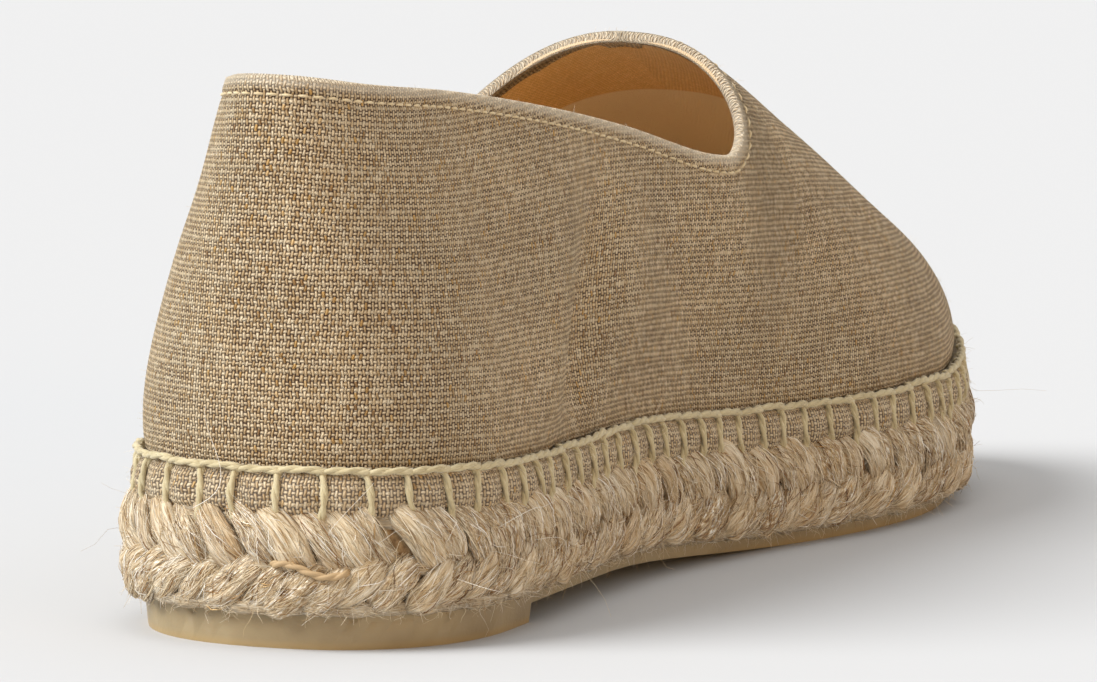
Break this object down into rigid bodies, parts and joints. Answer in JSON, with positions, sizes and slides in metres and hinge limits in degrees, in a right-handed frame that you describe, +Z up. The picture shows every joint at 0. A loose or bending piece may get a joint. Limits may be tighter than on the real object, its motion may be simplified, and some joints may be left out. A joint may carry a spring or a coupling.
{
  "type": "espadrille",
  "caption": "Flat slip-on espadrille for the left foot: linen upper with an arched throat, stitched to a braided jute sole on a thin rubber sheet with a low heel lift.",
  "frame": {"origin": "centre of the shoe's bounding box in plan, at floor level", "axes": "+Z up, +Y from heel to toe, +X towards the big-toe side of the left shoe"},
  "size_m": [0.0878, 0.25, 0.0869],
  "materials": {
    "rubber": "satin translucent gum rubber, olive tan",
    "jute": "pale braided jute with a few glittering gold filaments",
    "insole_cloth": "plain tan cloth",
    "linen": "coarse plain weave linen, sand with brown gaps and golden flecks",
    "thread": "soft two-ply yarn, pale straw",
    "lining": "smooth tan brown lining cloth"
  },
  "bodies": {
    "root": {"outsole": "rubber", "jute_sole": "jute", "insole": "insole_cloth", "upper": "linen"}
  },
  "joints": []
}
